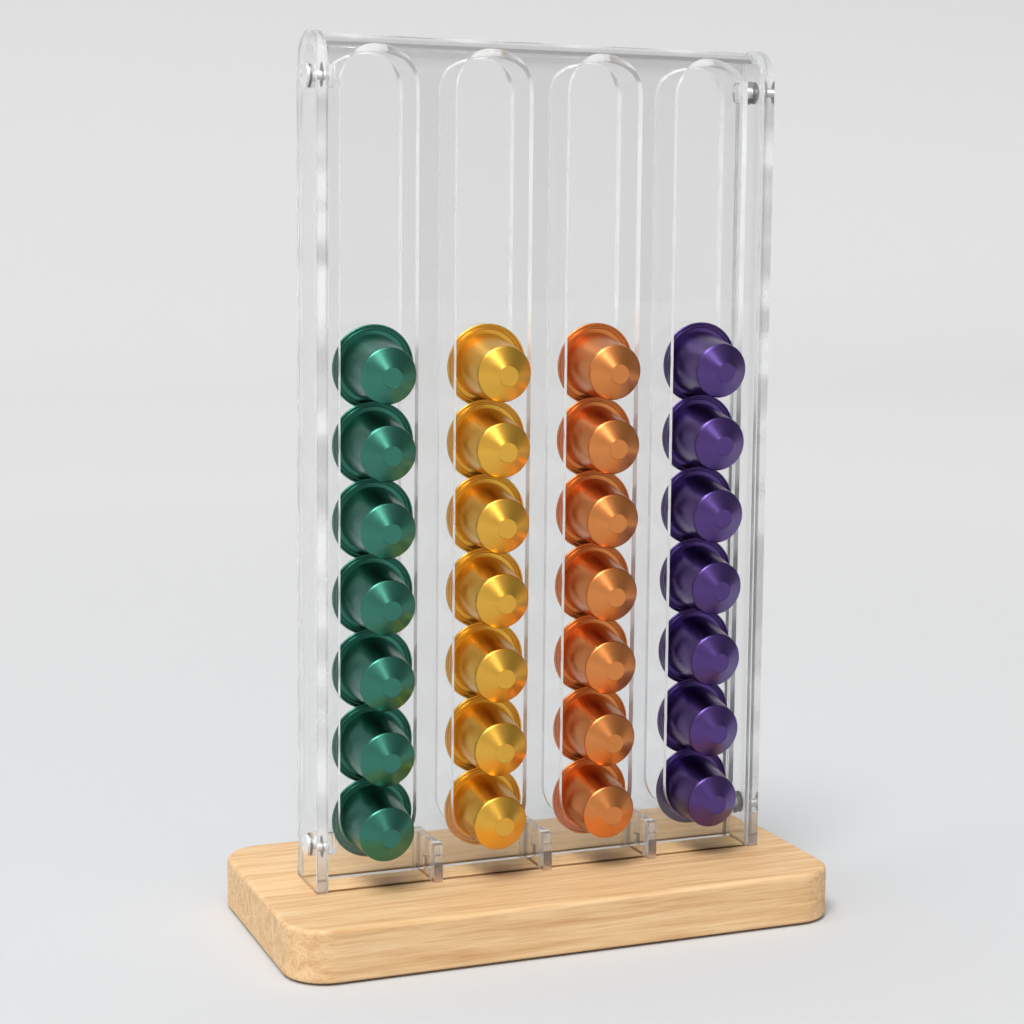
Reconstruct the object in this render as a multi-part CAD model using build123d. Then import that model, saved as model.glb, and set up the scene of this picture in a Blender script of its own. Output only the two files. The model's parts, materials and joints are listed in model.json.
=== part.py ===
from build123d import *
import math
import os

# A free-standing rack for coffee capsules. A clear sheet is bent over into a hairpin, so that
# it has a front leg and a back leg, and each leg has a row of long slots. Capsules hang in the
# slots by their rims, which run in the channel between a leg and the clear panel in the middle.
# Millimetres, Z up, X along the row of slots, the slots of the loaded side face -Y.
# The origin is on the table, under the middle of the wooden base.

# Wooden base
base_width = 255.0
base_depth = 130.0
base_height = 22.7
base_corner_radius = 19.0
base_top_round = 2.0
base_foot_round = 1.5

# Pads under the base
pad_diameter = 12.0
pad_thickness = 1.6
pad_pocket_depth = 0.6
pad_fit = 0.1
pad_inset = 24.0

# Place of the rack on the base, measured from the middle of the base to the middle of the rack
rack_shift_x = 2.9
rack_shift_y = -1.7

# Clear side panels, which have round tops and stand in pockets in the base
side_thickness = 5.0
side_depth = 31.0
side_height = 368.6
tenon_width = 20.0
tenon_length = 6.0
tenon_fit = 0.15

# Clear slotted sheet between the side panels
sheet_thickness = 4.5
sheet_inset = 1.0

# Slots in each leg of the sheet, with round ends cut in the flat sheet. Plain strips of the
# sheet are left between the slots and at both ends of the row.
column_count = 4
middle_strip = 17.2
left_strip = 5.6
right_strip = 8.0
slot_bottom = 15.4
slot_top_margin = 23.1
slot_tip_angle = 86.0
rim_hold = 1.15

# Clear panel in the middle, between the two legs
middle_thickness = 4.0
middle_lift = 2.5
middle_top_gap = 0.3

# Clear cross ribs at the foot, which pass through notches in the legs and carry the panel
rib_thickness = 4.0
rib_depth = 35.5
rib_height = 17.0
rib_seat = 8.0
rib_row_shift = -0.4
lap_fit = 0.1

# Screws through the side panels into clear bosses, which grip the edges of the middle panel
screw_from_top = 19.0
screw_from_base = 18.0
screw_shank_diameter = 4.0
screw_head_diameter = 10.0
screw_head_height = 2.2
screw_head_crown = 1.2
screw_bite = 3.0
screw_tip_gap = 0.3
socket_across_flats = 3.0
socket_depth = 1.3
hole_fit = 0.1
boss_diameter = 10.5
boss_length = 6.5
boss_chamfer = 0.3
boss_grip_depth = 3.0
grip_fit = 0.05

# Capsule: an aluminium shell with a rolled rim, closed by a foil lid
rim_diameter = 37.0
rim_roll_radius = 0.55
flange_thickness = 0.45
flange_bead_radius = 16.5
flange_bead_height = 0.45
flange_bead_width = 1.2
shell_wall = 0.35
body_root_diameter = 28.4
body_shoulder_diameter = 24.6
body_shoulder_height = 22.8
shoulder_round_diameter = 23.2
shoulder_round_height = 23.9
nose_diameter = 8.8
nose_height = 28.4
nose_dish_depth = 0.12
nose_dish_margin = 0.25
bow_tangents = [(-0.08, 1), (-0.8, 0.5)]
lid_thickness = 0.15
lid_diameter = 34.8

# Inner corners of the shell, as shares of its wall inwards and down from the outer ones
shoulder_drop_share = 0.3
round_inset_share = 0.8
round_drop_share = 0.7
nose_inset_share = 0.3
nose_bevel_share = 0.6

# Stack of capsules in a column
capsules_per_column = 7
capsule_tilt = 6.0
contact_gap = 0.3
rim_plane_y = -6.0
capsule_shift_x = -0.7

# How far a cutter reaches past the faces that it opens
cut_margin = 1.0

# Steps in the wrapped end of a slot, and rounds until the step up a column has settled
slot_head_steps = 12
settling_rounds = 20

# Widths that follow from the sizes above
slot_width = rim_diameter - 2 * rim_hold
column_pitch = slot_width + middle_strip
slots_width = column_count * slot_width + (column_count - 1) * middle_strip
inner_width = left_strip + slots_width + right_strip
slot_row_shift = (left_strip - right_strip) / 2

# Levels and places that follow from the sizes above
pad_stand = pad_thickness - pad_pocket_depth
base_top = pad_stand + base_height
rack_top = base_top + side_height
bend_axis_z = rack_top - side_depth / 2
sheet_outer_radius = side_depth / 2 - sheet_inset
sheet_inner_radius = sheet_outer_radius - sheet_thickness
sheet_middle_radius = (sheet_outer_radius + sheet_inner_radius) / 2
slot_radius = slot_width / 2
slot_spring = side_height - slot_top_margin
middle_half_width = inner_width / 2 - boss_length + boss_grip_depth
screw_levels = (base_top + screw_from_base, rack_top - screw_from_top)


def column_x(index):
    """Middle of a column of slots, counted from the left."""
    return rack_shift_x + slot_row_shift + (index - (column_count - 1) / 2) * column_pitch


def rib_x(index):
    """Middle of a cross rib, which stands between two columns."""
    return rack_shift_x + rib_row_shift + (index - (column_count - 2) / 2) * column_pitch


def block(x_low, x_high, y_low, y_high, z_low, z_high):
    """Box from its corner values."""
    size = (x_high - x_low, y_high - y_low, z_high - z_low)
    middle = ((x_low + x_high) / 2, (y_low + y_high) / 2, (z_low + z_high) / 2)
    return Pos(*middle) * Box(*size)


def rod_along_x(radius, x_low, x_high, y, z):
    """Round rod from x_low to x_high."""
    return Pos((x_low + x_high) / 2, y, z) * Rot(0, 90, 0) * Cylinder(radius, x_high - x_low)


def pad_places():
    """Middles of the pads, one near each corner of the base."""
    reach_x = base_width / 2 - pad_inset
    reach_y = base_depth / 2 - pad_inset
    return [(sx * reach_x, sy * reach_y) for sx in (-1, 1) for sy in (-1, 1)]


def side_x(side):
    """Inner face of a side panel, for side -1 on the left and 1 on the right."""
    return rack_shift_x + side * inner_width / 2


def make_wood_base():
    """Block with round corners, pockets for the pads and pockets for the side panels."""
    outline = RectangleRounded(base_width, base_depth, base_corner_radius)
    wood = Pos(0, 0, pad_stand) * extrude(outline, base_height)
    wood = fillet(wood.faces().sort_by(Axis.Z)[-1].edges(), base_top_round)
    wood = fillet(wood.faces().sort_by(Axis.Z)[0].edges(), base_foot_round)
    pocket_radius = pad_diameter / 2 + pad_fit
    for x, y in pad_places():
        wood -= Pos(x, y, pad_stand + pad_pocket_depth / 2) * Cylinder(pocket_radius, pad_pocket_depth)
    half_width = tenon_width / 2 + tenon_fit
    for side in (-1, 1):
        near = side_x(side) - side * tenon_fit
        far = side_x(side) + side * (side_thickness + tenon_fit)
        floor_z = base_top - tenon_length - tenon_fit
        y_low = rack_shift_y - half_width
        y_high = rack_shift_y + half_width
        wood -= block(min(near, far), max(near, far), y_low, y_high, floor_z, base_top + cut_margin)
    return wood


def make_base_pads():
    """Round pads that fill their pockets and stand out below the base."""
    pad = Pos(0, 0, pad_thickness / 2) * Cylinder(pad_diameter / 2, pad_thickness)
    return Compound(children=[Pos(x, y, 0) * pad for x, y in pad_places()])


def hairpin(radius, z_low):
    """Area in the YZ plane: a straight shank from z_low, under a round top."""
    shank_height = bend_axis_z - z_low
    shank = Pos(0, z_low + shank_height / 2) * Rectangle(2 * radius, shank_height)
    return shank + Pos(0, bend_axis_z) * Circle(radius)


def extrude_along_x(area, x_low, x_high):
    """Solid from an area whose first axis is Y and second axis is Z."""
    plane = Plane(origin=(x_low, rack_shift_y, 0), x_dir=(0, 1, 0), z_dir=(1, 0, 0))
    return extrude(plane * area, x_high - x_low)


def make_side_panel(side):
    """Flat panel with a round top, a tenon at its foot and two screw holes."""
    inner = side_x(side)
    outer = inner + side * side_thickness
    x_low = min(inner, outer)
    x_high = max(inner, outer)
    panel = extrude_along_x(hairpin(side_depth / 2, base_top), x_low, x_high)
    y_low = rack_shift_y - tenon_width / 2
    y_high = rack_shift_y + tenon_width / 2
    panel += block(x_low, x_high, y_low, y_high, base_top - tenon_length, base_top + cut_margin)
    hole_radius = screw_shank_diameter / 2 + hole_fit
    for level in screw_levels:
        panel -= rod_along_x(hole_radius, x_low - cut_margin, x_high + cut_margin, rack_shift_y, level)
    return panel


def slot_foot_and_shank():
    """Cutter for the flat part of a slot at x = 0, up to where the sheet starts to bend."""
    foot_z = base_top + slot_bottom + slot_radius
    spring_z = base_top + slot_spring
    area = Pos(0, (foot_z + spring_z) / 2) * Rectangle(slot_width, spring_z - foot_z)
    area += Pos(0, foot_z) * Circle(slot_radius)
    head = Pos(0, spring_z) * Circle(slot_radius)
    above_bend = Pos(0, bend_axis_z + slot_radius) * Rectangle(2 * slot_width, 2 * slot_radius)
    area += head - above_bend
    front = rack_shift_y - side_depth / 2
    plane = Plane(origin=(0, front, 0), x_dir=(1, 0, 0), z_dir=(0, -1, 0))
    return extrude(plane * area, -(side_depth / 2 - middle_thickness / 2))


def slot_head():
    """Cutter for the round end of a slot, wrapped over the bend of the sheet."""
    flat_rise = bend_axis_z - (base_top + slot_spring)
    start = math.degrees(math.asin(flat_rise / slot_radius))
    inner_reach = sheet_inner_radius - cut_margin
    outer_reach = sheet_outer_radius + cut_margin
    sections = []
    for step in range(slot_head_steps):
        sweep = math.radians(start + (slot_tip_angle - start) * step / (slot_head_steps - 1))
        half_width = slot_radius * math.cos(sweep)
        turn = (slot_radius * math.sin(sweep) - flat_rise) / sheet_middle_radius
        outward = Vector(0, -math.cos(turn), math.sin(turn))
        middle = Vector(0, rack_shift_y, bend_axis_z) + outward * ((inner_reach + outer_reach) / 2)
        along = Vector(0, math.sin(turn), math.cos(turn))
        plane = Plane(origin=middle, x_dir=(1, 0, 0), z_dir=along)
        sections.append(plane * Rectangle(2 * half_width, outer_reach - inner_reach))
    return loft(sections)


def make_slotted_sheet():
    """Hairpin sheet between the side panels, slotted in both legs and notched for the ribs."""
    area = hairpin(sheet_outer_radius, base_top) - hairpin(sheet_inner_radius, base_top - cut_margin)
    sheet = extrude_along_x(area, side_x(-1), side_x(1))
    cutters = [slot_foot_and_shank(), slot_head()]
    half_turn = Pos(0, rack_shift_y, 0) * Rot(0, 0, 180) * Pos(0, -rack_shift_y, 0)
    for index in range(column_count):
        for cutter in cutters:
            sheet -= Pos(column_x(index), 0, 0) * cutter
            sheet -= Pos(column_x(index), 0, 0) * half_turn * cutter
    half_notch = rib_thickness / 2 + lap_fit
    for index in range(column_count - 1):
        middle = rib_x(index)
        sheet -= block(middle - half_notch, middle + half_notch,
                       rack_shift_y - side_depth, rack_shift_y + side_depth,
                       base_top - cut_margin, base_top + rib_height + lap_fit)
    return sheet


def make_middle_panel():
    """Flat panel between the legs, notched over the ribs."""
    x_low = rack_shift_x - middle_half_width
    x_high = rack_shift_x + middle_half_width
    y_low = rack_shift_y - middle_thickness / 2
    y_high = rack_shift_y + middle_thickness / 2
    half = middle_thickness / 2
    top = bend_axis_z + math.sqrt(sheet_inner_radius ** 2 - half ** 2) - middle_top_gap
    panel = block(x_low, x_high, y_low, y_high, base_top + middle_lift, top)
    half_notch = rib_thickness / 2 + lap_fit
    for index in range(column_count - 1):
        middle = rib_x(index)
        panel -= block(middle - half_notch, middle + half_notch,
                       y_low - cut_margin, y_high + cut_margin,
                       base_top, base_top + rib_seat)
    return panel


def make_cross_rib(index):
    """Low rib across the rack, with a seat for the middle panel in its upper half."""
    middle = rib_x(index)
    x_low = middle - rib_thickness / 2
    x_high = middle + rib_thickness / 2
    half_depth = rib_depth / 2
    rib = block(x_low, x_high, rack_shift_y - half_depth, rack_shift_y + half_depth,
                base_top, base_top + rib_height)
    half_seat = middle_thickness / 2 + lap_fit
    rib -= block(x_low - cut_margin, x_high + cut_margin,
                 rack_shift_y - half_seat, rack_shift_y + half_seat,
                 base_top + rib_seat, base_top + rib_height + cut_margin)
    return rib


def make_side_screw(side, level):
    """Domed socket screw through a side panel into its boss."""
    head_radius = screw_head_diameter / 2
    brim = (head_radius, screw_head_height - screw_head_crown)
    top = (0, screw_head_height)
    dome_radius = (head_radius ** 2 + screw_head_crown ** 2) / (2 * screw_head_crown)
    half_drop = dome_radius - math.sqrt(dome_radius ** 2 - (head_radius / 2) ** 2)
    dome = ThreePointArc(brim, (head_radius / 2, screw_head_height - half_drop), top)
    head = revolve(Plane.XZ * make_face(dome + Polyline(top, (0, 0), (head_radius, 0), brim)), Axis.Z)
    hexagon = RegularPolygon(socket_across_flats / 2, 6, major_radius=False)
    head -= Pos(0, 0, screw_head_height - socket_depth) * extrude(hexagon, socket_depth + cut_margin)
    shank_length = side_thickness + screw_bite
    screw = head + Pos(0, 0, -shank_length / 2) * Cylinder(screw_shank_diameter / 2, shank_length)
    turned = Rot(0, 90 * side, 0) * screw
    return Pos(side_x(side) + side * side_thickness, rack_shift_y, level) * turned


def make_edge_boss(side, level):
    """Round boss on the inner face of a side panel, slotted for the edge of the middle panel."""
    boss = Cylinder(boss_diameter / 2, boss_length)
    boss = chamfer(boss.edges().filter_by(GeomType.CIRCLE), boss_chamfer)
    hole_depth = screw_bite + screw_tip_gap
    hole_radius = screw_shank_diameter / 2 + grip_fit
    hole_middle = (boss_length - hole_depth + cut_margin) / 2
    boss -= Pos(0, 0, hole_middle) * Cylinder(hole_radius, hole_depth + cut_margin)
    slot_depth = boss_grip_depth + grip_fit
    slot_gap = middle_thickness + 2 * grip_fit
    slot_middle = (slot_depth - boss_length - cut_margin) / 2
    boss -= Pos(0, 0, slot_middle) * Box(boss_diameter + cut_margin, slot_gap, slot_depth + cut_margin)
    middle_x = side_x(side) - side * boss_length / 2
    return Pos(middle_x, rack_shift_y, level) * Rot(0, 90 * side, 0) * boss


def capsule_outline(inset):
    """Corners of the capsule's body from the flange to the nose, moved inwards by a wall."""
    root = body_root_diameter / 2 - inset
    shoulder = body_shoulder_diameter / 2 - inset
    turned = shoulder_round_diameter / 2 - inset * round_inset_share
    nose = nose_diameter / 2 - inset * nose_inset_share
    return [
        (root, 0),
        (shoulder, body_shoulder_height - inset * shoulder_drop_share),
        (turned, shoulder_round_height - inset * round_drop_share),
        (nose, nose_height - inset),
    ]


def make_shell():
    """Thin capsule shell with its rim plane at z = 0 and its nose towards +Z."""
    root, shoulder, turned, nose = capsule_outline(0)
    dish_z = nose_height - nose_dish_depth
    dish_edge = (nose[0] - nose_dish_margin, dish_z)
    bow = Spline(shoulder, turned, tangents=bow_tangents)
    rest = Polyline(turned, nose, dish_edge, (0, dish_z), (0, 0), root, shoulder)
    outer = revolve(Plane.XZ * make_face(bow + rest), Axis.Z)
    root_in, shoulder_in, turned_in, nose_in = capsule_outline(shell_wall)
    floor_z = dish_z - shell_wall
    floor_edge = (nose_in[0] - shell_wall * nose_bevel_share, floor_z)
    mouth = (root_in[0], -cut_margin)
    bow_in = Spline(shoulder_in, turned_in, tangents=bow_tangents)
    rest_in = Polyline(turned_in, nose_in, floor_edge, (0, floor_z), (0, -cut_margin), mouth,
                       root_in, shoulder_in)
    inner = revolve(Plane.XZ * make_face(bow_in + rest_in), Axis.Z)
    ring_outer = rim_diameter / 2 - rim_roll_radius
    flange = Pos(0, 0, flange_thickness / 2) * Cylinder(ring_outer, flange_thickness)
    roll = Pos(0, 0, rim_roll_radius) * Torus(ring_outer, rim_roll_radius)
    bead_low = (flange_bead_radius - flange_bead_width / 2, flange_thickness)
    bead_high = (flange_bead_radius + flange_bead_width / 2, flange_thickness)
    crest = (flange_bead_radius, flange_thickness + flange_bead_height)
    low_root = (bead_low[0], flange_thickness / 2)
    high_root = (bead_high[0], flange_thickness / 2)
    bead_area = make_face(ThreePointArc(bead_low, crest, bead_high)
                          + Polyline(bead_high, high_root, low_root, bead_low))
    bead = revolve(Plane.XZ * bead_area, Axis.Z)
    shell = outer + flange + roll + bead
    return shell - inner


def make_lid():
    """Thin foil disc that closes the shell, in the plane of the rim."""
    return Pos(0, 0, -lid_thickness / 2) * Cylinder(lid_diameter / 2, lid_thickness)


def body_radius_at(height):
    """Outer radius of the capsule's body at a height above the rim plane."""
    share = height / body_shoulder_height
    return (body_root_diameter + (body_shoulder_diameter - body_root_diameter) * share) / 2


def capsule_pitch():
    """Step up a column: each body rests on the rim below it."""
    tilt = math.radians(capsule_tilt)
    pitch = rim_diameter
    for _ in range(settling_rounds):
        forward = pitch * math.sin(tilt) + rim_roll_radius
        pitch = (rim_diameter / 2 + body_radius_at(forward) + contact_gap) / math.cos(tilt)
    return pitch


def lowest_rim_z():
    """Rim middle of the lowest capsule, whose body rests on the round foot of its slot."""
    tilt = math.radians(capsule_tilt)
    reach = -rim_plane_y - sheet_inner_radius
    forward = abs(reach) / math.cos(tilt)
    drop = forward * math.sin(tilt)
    body = body_radius_at(forward) / math.cos(tilt)
    return base_top + slot_bottom + contact_gap + drop + body


def capsule_place(column, row):
    """Location that carries a capsule from its own frame to its seat in a column."""
    z = lowest_rim_z() + row * capsule_pitch()
    seat = Pos(column_x(column) + capsule_shift_x, rack_shift_y + rim_plane_y, z)
    return seat * Rot(90 + capsule_tilt, 0, 0)


def write(name, shape):
    """One STEP file per node."""
    export_step(shape, f"parts/{name}.step")


def main():
    os.makedirs("parts", exist_ok=True)
    write("wood_base", make_wood_base())
    write("base_pads", make_base_pads())
    write("slotted_sheet", make_slotted_sheet())
    write("middle_panel", make_middle_panel())
    for side, side_name in ((-1, "left"), (1, "right")):
        write(f"side_panel_{side_name}", make_side_panel(side))
        for level, level_name in zip(screw_levels, ("lower", "upper")):
            write(f"side_screw_{level_name}_{side_name}", make_side_screw(side, level))
            write(f"edge_boss_{level_name}_{side_name}", make_edge_boss(side, level))
    for index in range(column_count - 1):
        write(f"cross_rib_{index + 1}", make_cross_rib(index))
    shell = make_shell()
    lid = make_lid()
    top_row = capsules_per_column - 1
    for column in range(column_count):
        for row in range(capsules_per_column):
            write(f"capsule_{column + 1}_{row + 1}", capsule_place(column, row) * shell)
        lower_lids = [capsule_place(column, row) * lid for row in range(top_row)]
        write(f"foil_lids_{column + 1}", Compound(children=lower_lids))
        write(f"foil_lid_top_{column + 1}", capsule_place(column, top_row) * lid)


main()
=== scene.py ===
import json
import math

import bpy
from mathutils import Matrix, Vector


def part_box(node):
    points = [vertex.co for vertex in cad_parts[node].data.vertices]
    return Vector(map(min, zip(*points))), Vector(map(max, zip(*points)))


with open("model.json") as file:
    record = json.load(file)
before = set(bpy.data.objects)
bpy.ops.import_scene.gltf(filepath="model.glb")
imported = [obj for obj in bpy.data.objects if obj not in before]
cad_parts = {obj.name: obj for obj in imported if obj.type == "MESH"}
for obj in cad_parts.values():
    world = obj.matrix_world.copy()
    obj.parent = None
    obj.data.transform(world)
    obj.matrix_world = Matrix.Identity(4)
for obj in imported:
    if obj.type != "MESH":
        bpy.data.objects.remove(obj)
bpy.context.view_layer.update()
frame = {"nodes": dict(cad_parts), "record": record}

# The sheet is bent round the middle of the side panels' round tops
panel_low, panel_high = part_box("side_panel_left")
panel_depth = panel_high[1] - panel_low[1]
bend_axis = (0.0, (panel_low[1] + panel_high[1]) / 2, panel_high[2] - panel_depth / 2)


# Node helpers

# Places of the sockets of a colour mix and a shader mix in Blender's lists
mix_share, mix_first, mix_second, mix_result = 0, 6, 7, 2
shader_first, shader_second = 1, 2


def new_material(name):
    """A node material with an empty tree and its output."""
    material = bpy.data.materials.new(name)
    material.use_nodes = True
    tree = material.node_tree
    tree.nodes.clear()
    output = tree.nodes.new("ShaderNodeOutputMaterial")
    return material, tree, output


def feed(tree, socket, value):
    """Gives a socket the output of another node, or a constant."""
    if isinstance(value, bpy.types.NodeSocket):
        tree.links.new(value, socket)
    else:
        socket.default_value = value


def add(tree, kind, **values):
    """A node with its settings and its named inputs."""
    node = tree.nodes.new(kind)
    for key, value in values.items():
        if hasattr(node, key):
            setattr(node, key, value)
        else:
            feed(tree, node.inputs[key.replace("_", " ")], value)
    return node


def number(tree, operation, *values):
    """A number worked out from constants and outputs."""
    node = add(tree, "ShaderNodeMath", operation=operation)
    for socket, value in zip(node.inputs, values):
        feed(tree, socket, value)
    return node.outputs["Value"]


def vector(tree, operation, result, *values):
    """The named result of a vector operation on constants and outputs."""
    node = add(tree, "ShaderNodeVectorMath", operation=operation)
    for socket, value in zip(node.inputs, values):
        feed(tree, socket, value)
    return node.outputs[result]


def object_place(tree):
    """Coordinates in metres that move with the object."""
    return add(tree, "ShaderNodeTexCoord").outputs["Object"]


def stretched(tree, place, scale, turn=(0.0, 0.0, 0.0)):
    """Coordinates that are scaled and turned, to give a texture a direction."""
    return add(tree, "ShaderNodeMapping", Vector=place, Scale=scale, Rotation=turn).outputs["Vector"]


def noise(tree, place, **values):
    """The grey value of a noise texture."""
    return add(tree, "ShaderNodeTexNoise", Vector=place, **values).outputs["Fac"]


def ramp(tree, source, stops):
    """A colour ramp over a value, from pairs of place and colour."""
    middle = 0.5
    node = add(tree, "ShaderNodeValToRGB", Fac=source)
    elements = node.color_ramp.elements
    while len(elements) < len(stops):
        elements.new(middle)
    for element, (place, colour) in zip(elements, stops):
        element.position = place
        element.color = colour
    return node.outputs["Color"]


def grey(value):
    """A grey colour."""
    return (value, value, value, 1.0)


def colour_mix(tree, blend, share, first, second):
    """The first colour with a share of the second one laid over it."""
    node = add(tree, "ShaderNodeMix", data_type="RGBA", blend_type=blend)
    feed(tree, node.inputs[mix_share], share)
    feed(tree, node.inputs[mix_first], first)
    feed(tree, node.inputs[mix_second], second)
    return node.outputs[mix_result]


def relief(tree, height, strength, depth):
    """A normal with a small relief from a grey value."""
    node = add(tree, "ShaderNodeBump", Height=height, Strength=strength, Distance=depth)
    return node.outputs["Normal"]


# Materials

def flat_cut(tree, geometry, face_axis):
    """How far a face of a flat sheet turns away from the sheet's normal, from 0 to 1."""
    facing = add(tree, "ShaderNodeSeparateXYZ", Vector=geometry.outputs["True Normal"])
    return number(tree, "SUBTRACT", 1.0, number(tree, "ABSOLUTE", facing.outputs[face_axis]))


def bent_cut(tree, geometry):
    """How far a face of the bent sheet turns away from the sheet's normal, from 0 to 1.

    The normal lies along Y in the legs and points away from the bend's axis above it.
    """
    from_axis = vector(tree, "SUBTRACT", "Vector", geometry.outputs["Position"], bend_axis)
    parts = add(tree, "ShaderNodeSeparateXYZ", Vector=from_axis)
    above = number(tree, "MAXIMUM", parts.outputs["Z"], 0.0)
    radial = add(tree, "ShaderNodeCombineXYZ", Y=parts.outputs["Y"], Z=above)
    sheet_normal = vector(tree, "NORMALIZE", "Vector", radial.outputs["Vector"])
    along = vector(tree, "DOT_PRODUCT", "Value", sheet_normal, geometry.outputs["True Normal"])
    return number(tree, "SUBTRACT", 1.0, number(tree, "ABSOLUTE", along))


def clear_acrylic(name, face_axis, cut_clearness, refraction, face_tone, painted_reflection_tone):
    """Clear polished sheet with slightly hazy cut edges.

    face_axis is the axis of the sheet's normal, or "bent" for the bent sheet. cut_clearness is
    the share of light that passes through a cut edge, refraction the index of refraction,
    face_tone the tone of a face, and painted_reflection_tone the dark end of the soft streaks along
    a cut edge, which are painted reflections.
    """
    haze_start, haze_full = 0.35, 0.75
    mark_scale = 120.0
    mark_tone = 0.93
    reflection_stretch = (1.0, 1.0, 30.0)
    reflection_scale = 1.6
    cut_roughness = 0.10
    shadow_tint = (0.93, 0.94, 0.94, 1.0)
    material, tree, output = new_material(name)
    geometry = add(tree, "ShaderNodeNewGeometry")
    if face_axis == "bent":
        cut = bent_cut(tree, geometry)
    else:
        cut = flat_cut(tree, geometry, face_axis)
    place = object_place(tree)
    marks = noise(tree, place, Scale=mark_scale, Detail=4.0)
    # Soft streaks of painted reflection along the cut edges
    painted_reflections = noise(tree, stretched(tree, place, reflection_stretch), Scale=reflection_scale, Detail=1.0)
    haze = ramp(tree, cut, [(haze_start, grey(0.0)), (haze_full, grey(1.0))])
    uneven = ramp(tree, marks, [(0.3, grey(mark_tone)), (0.7, grey(1.0))])
    edge = number(tree, "MULTIPLY", haze, uneven)
    # Colour of a cut edge: painted reflection streaks, from the dark tone up to white
    cut_reflection_streaks = ramp(tree, painted_reflections, [(0.42, grey(painted_reflection_tone)), (0.58, grey(1.0))])
    shader = add(
        tree,
        "ShaderNodeBsdfPrincipled",
        IOR=refraction,
        Transmission_Weight=ramp(tree, edge, [(0.0, grey(1.0)), (1.0, grey(cut_clearness))]),
        Base_Color=colour_mix(tree, "MIX", edge, grey(face_tone), cut_reflection_streaks),
        Roughness=ramp(tree, edge, [(0.0, grey(0.0)), (1.0, grey(cut_roughness))]),
    )
    clear = add(tree, "ShaderNodeBsdfTransparent", Color=shadow_tint)
    path = add(tree, "ShaderNodeLightPath")
    mix = add(tree, "ShaderNodeMixShader", Fac=path.outputs["Is Shadow Ray"])
    feed(tree, mix.inputs[shader_first], shader.outputs["BSDF"])
    feed(tree, mix.inputs[shader_second], clear.outputs["BSDF"])
    feed(tree, output.inputs["Surface"], mix.outputs["Shader"])
    return material


def light_oak():
    """Oiled light oak: a grain along X, fine pores and a low sheen."""
    grain_stretch = (2.0, 38.0, 38.0)
    grain_turn = (0.25, 0.0, 0.02)
    grain_tones = [
        (0.30, (0.67, 0.375, 0.170, 1.0)),
        (0.42, (0.75, 0.475, 0.230, 1.0)),
        (0.54, (0.82, 0.55, 0.285, 1.0)),
        (0.70, (0.87, 0.62, 0.35, 1.0)),
    ]
    pore_stretch = (12.0, 420.0, 420.0)
    pore_tone = (0.82, 0.70, 0.60, 1.0)
    pore_share = 0.8
    pore_strength, pore_depth = 0.25, 0.0003
    material, tree, output = new_material("light_oak")
    place = object_place(tree)
    grain_place = stretched(tree, place, grain_stretch, grain_turn)
    grain = noise(tree, grain_place, Scale=6.5, Detail=6.0, Roughness=0.6, Distortion=0.35)
    pores = noise(tree, stretched(tree, place, pore_stretch), Scale=2.2, Detail=3.0, Roughness=0.7)
    wood = ramp(tree, grain, grain_tones)
    dark_pores = ramp(tree, pores, [(0.34, pore_tone), (0.54, grey(1.0))])
    shader = add(
        tree,
        "ShaderNodeBsdfPrincipled",
        Base_Color=colour_mix(tree, "MULTIPLY", pore_share, wood, dark_pores),
        Roughness=ramp(tree, pores, [(0.3, grey(0.62)), (0.6, grey(0.48))]),
        Normal=relief(tree, pores, pore_strength, pore_depth),
    )
    feed(tree, output.inputs["Surface"], shader.outputs["BSDF"])
    return material


def satin_metal(name, colour, roughness, speckle, lacquer):
    """Satin metal with a fine rolled texture in its colour, roughness and surface.

    speckle is how far the colour varies, and lacquer the weight of a clear coat.
    """
    lacquer_roughness = 0.29
    fine_scale = 900.0
    patch_scale = 45.0
    roughness_spread = 0.12
    fine_strength, fine_depth = 0.02, 0.00002
    material, tree, output = new_material(name)
    place = object_place(tree)
    fine = noise(tree, place, Scale=fine_scale, Detail=2.0, Roughness=0.6)
    patches = noise(tree, place, Scale=patch_scale, Detail=3.0, Roughness=0.5)
    dark = tuple(channel * (1 - speckle) for channel in colour) + (1.0,)
    light = tuple(min(1.0, channel * (1 + speckle)) for channel in colour) + (1.0,)
    smooth = grey(roughness * (1 - roughness_spread))
    rough = grey(roughness * (1 + roughness_spread))
    shader = add(
        tree,
        "ShaderNodeBsdfPrincipled",
        Metallic=1.0,
        Coat_Weight=lacquer,
        Coat_Roughness=lacquer_roughness,
        Base_Color=ramp(tree, patches, [(0.35, dark), (0.65, light)]),
        Roughness=ramp(tree, fine, [(0.3, smooth), (0.7, rough)]),
        Normal=relief(tree, fine, fine_strength, fine_depth),
    )
    feed(tree, output.inputs["Surface"], shader.outputs["BSDF"])
    return material


def pad_rubber():
    """Matt dark grey rubber with a fine grain."""
    dark, light = 0.05, 0.09
    grain_scale = 600.0
    grain_strength, grain_depth = 0.3, 0.0001
    material, tree, output = new_material("pad_rubber")
    grain = noise(tree, object_place(tree), Scale=grain_scale, Detail=4.0)
    shader = add(
        tree,
        "ShaderNodeBsdfPrincipled",
        Base_Color=ramp(tree, grain, [(0.3, grey(dark)), (0.7, grey(light))]),
        Roughness=0.8,
        Normal=relief(tree, grain, grain_strength, grain_depth),
    )
    feed(tree, output.inputs["Surface"], shader.outputs["BSDF"])
    return material


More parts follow.
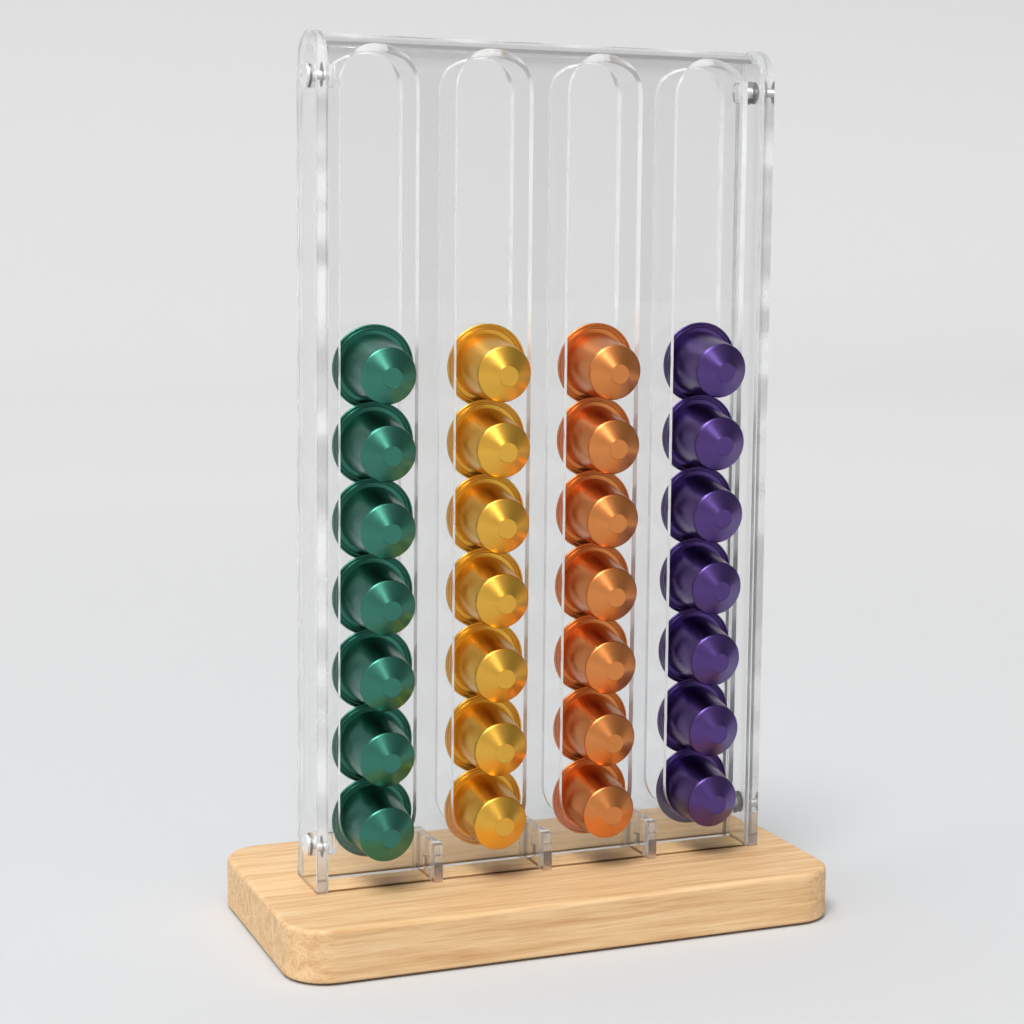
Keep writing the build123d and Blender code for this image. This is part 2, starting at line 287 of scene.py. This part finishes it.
# Name, colour, roughness, speckle and lacquer of each metal
capsule_roughness = 0.32
metals = [
    ("polished_metal", (0.95, 0.95, 0.95), 0.50, 0.02, 0.0),
    ("green_aluminium", (0.040, 0.200, 0.145), capsule_roughness, 0.05, 0.35),
    ("gold_aluminium", (0.79, 0.44, 0.06), capsule_roughness, 0.04, 0.2),
    ("copper_aluminium", (0.72, 0.255, 0.070), capsule_roughness, 0.04, 0.2),
    ("purple_aluminium", (0.085, 0.042, 0.205), capsule_roughness, 0.05, 0.45),
    ("plain_foil", (0.80, 0.80, 0.80), 0.33, 0.03, 0.0),
]
finishes = {"light_oak": light_oak(), "pad_rubber": pad_rubber()}
for metal, *look in metals:
    finishes[metal] = satin_metal(metal, *look)

# The small pieces have a lower index, because their cemented faces hardly show
sheet_index = 1.49
cemented_index = 1.22

# Kind, face axis, clearness of the cut edges, index, face tone and the dark tone of the painted
# reflection streaks on the cut edges of each sheet
sheets = [
    ("bent", "bent", 0.36, sheet_index, 0.960, 0.94),
    ("X", "X", 0.72, sheet_index, 0.955, 0.70),
    ("Y", "Y", 0.85, sheet_index, 0.937, 0.92),
    ("small", "X", 0.84, cemented_index, 0.965, 0.92),
]
acrylic = {kind: clear_acrylic("clear_acrylic_" + kind, *look) for kind, *look in sheets}
sheet_kinds = {
    "slotted_sheet": "bent",
    "middle_panel": "Y",
    "side_panel_left": "X",
    "side_panel_right": "X",
}

slots = {part["node"]: part["material_slot"] for part in frame["record"]["subparts"]}
for node, thing in frame["nodes"].items():
    if slots[node] == "clear_acrylic":
        finish = acrylic[sheet_kinds.get(node, "small")]
    else:
        finish = finishes[slots[node]]
    for material_slot in thing.material_slots:
        material_slot.material = finish


# Floor and light

def backdrop_paint_and_shade():
    """Matt pale paint whose tone changes softly with the distance from the object; its darker,
    slightly cool tone near the object is painted shade that evens out the lamps' brighter light
    there.
    """
    painted_shade_reach = 4.0
    # The darker near tones are painted shade against the lamps' brighter light near the object
    painted_shade_tones = [
        (0.00, (0.620, 0.628, 0.638, 1.0)),
        (0.40, grey(0.758)),
        (0.65, grey(0.768)),
        (1.00, grey(0.730)),
    ]
    material, tree, output = new_material("backdrop_paint_and_shade")
    distance = vector(tree, "LENGTH", "Value", object_place(tree))
    share = number(tree, "DIVIDE", distance, painted_shade_reach)
    shader = add(
        tree,
        "ShaderNodeBsdfPrincipled",
        Base_Color=ramp(tree, share, painted_shade_tones),
        Roughness=0.95,
        Specular_IOR_Level=0.0,
    )
    feed(tree, output.inputs["Surface"], shader.outputs["BSDF"])
    return material


def backdrop():
    """A matt floor that sweeps up into a wall far behind the object."""
    front = -8.0
    half_width = 7.0
    bend_start, bend_radius = 3.0, 2.0
    wall_top = 6.0
    steps = 24
    line = [(front, 0.0), (bend_start, 0.0)]
    for step in range(1, steps + 1):
        angle = math.pi / 2 * step / steps
        y = bend_start + bend_radius * math.sin(angle)
        z = bend_radius * (1 - math.cos(angle))
        line.append((y, z))
    line.append((bend_start + bend_radius, wall_top))
    corners = [(x, y, z) for y, z in line for x in (-half_width, half_width)]
    faces = [(2 * k, 2 * k + 1, 2 * k + 3, 2 * k + 2) for k in range(len(line) - 1)]
    mesh = bpy.data.meshes.new("backdrop")
    mesh.from_pydata(corners, [], faces)
    mesh.polygons.foreach_set("use_smooth", [True] * len(faces))
    mesh.materials.append(backdrop_paint_and_shade())
    thing = bpy.data.objects.new("backdrop", mesh)
    bpy.context.scene.collection.objects.link(thing)
    return thing


backdrop()


def studio_world():
    """A plain world that is darker on the right and overhead."""
    strength = 0.73
    world = bpy.data.worlds.new("studio")
    world.use_nodes = True
    tree = world.node_tree
    direction = add(tree, "ShaderNodeTexCoord").outputs["Generated"]
    parts = add(tree, "ShaderNodeSeparateXYZ", Vector=direction)
    from_left = ramp(tree, parts.outputs["X"], [(0.0, grey(1.0)), (0.7, grey(0.50))])
    from_horizon = ramp(tree, parts.outputs["Z"], [(0.0, grey(1.0)), (0.3, grey(0.68))])
    light = tree.nodes["Background"]
    light.inputs["Strength"].default_value = strength
    feed(tree, light.inputs["Color"], colour_mix(tree, "MULTIPLY", 1.0, from_left, from_horizon))
    return world


bpy.context.scene.world = studio_world()


object_foot = (0.0, 0.0, 0.0)
object_middle = (0.0, 0.0, 0.2)


def aim(thing, place, target):
    """Adds a lamp to the scene at a place and turns it to a point."""
    bpy.context.scene.collection.objects.link(thing)
    thing.location = place
    thing.rotation_euler = (Vector(target) - Vector(place)).to_track_quat("-Z", "Y").to_euler()


def soft_sun(name, place, strength, angle):
    """A soft sun that shines from a place towards the foot of the object."""
    lamp = bpy.data.lights.new(name, "SUN")
    lamp.energy = strength
    lamp.angle = math.radians(angle)
    aim(bpy.data.objects.new(name, lamp), place, object_foot)


def softbox(name, place, size, power):
    """A rectangular area lamp that looks at the middle of the object."""
    lamp = bpy.data.lights.new(name, "AREA")
    lamp.shape = "RECTANGLE"
    lamp.size, lamp.size_y = size
    lamp.energy = power
    aim(bpy.data.objects.new(name, lamp), place, object_middle)


soft_sun("key", place=(-1.0, -1.12, 2.12), strength=1.85, angle=20)
softbox("left_softbox", place=(-1.6, -0.3, 0.9), size=(0.5, 1.6), power=1.5)
softbox("front_softbox", place=(-0.38, -1.5, 1.38), size=(0.4, 0.4), power=3.2)
softbox("top_softbox", place=(-0.3, -0.3, 1.7), size=(1.2, 0.5), power=6.5)


# Camera

def fitted_camera():
    """The photograph's camera, as fitted to the object's edges in the photograph."""
    picture_px = 1024
    focal_px = 2094.106
    principal_px = (545.489, 463.590)
    eye = Vector((-0.348517, -0.865886, 0.308453))
    yaw, pitch, roll = 0.3898, -0.1094, 0.0115
    sensor_width_mm = 36.0
    nearest, farthest = 0.01, 50
    forward = Vector((
        math.sin(yaw) * math.cos(pitch),
        math.cos(yaw) * math.cos(pitch),
        math.sin(pitch),
    ))
    level_right = Vector((math.cos(yaw), -math.sin(yaw), 0))
    level_up = level_right.cross(forward)
    right = math.cos(roll) * level_right + math.sin(roll) * level_up
    up = -math.sin(roll) * level_right + math.cos(roll) * level_up
    lens = bpy.data.cameras.new("camera")
    lens.sensor_width = sensor_width_mm
    lens.lens = focal_px * sensor_width_mm / picture_px
    lens.shift_x = (picture_px / 2 - principal_px[0]) / picture_px
    lens.shift_y = (principal_px[1] - picture_px / 2) / picture_px
    lens.clip_start = nearest
    lens.clip_end = farthest
    thing = bpy.data.objects.new("camera", lens)
    rotation = Matrix((right, up, -forward)).transposed()
    thing.matrix_world = Matrix.Translation(eye) @ rotation.to_4x4()
    bpy.context.scene.collection.objects.link(thing)
    return thing


bpy.context.scene.camera = fitted_camera()

bpy.context.scene.view_settings.view_transform = "Standard"
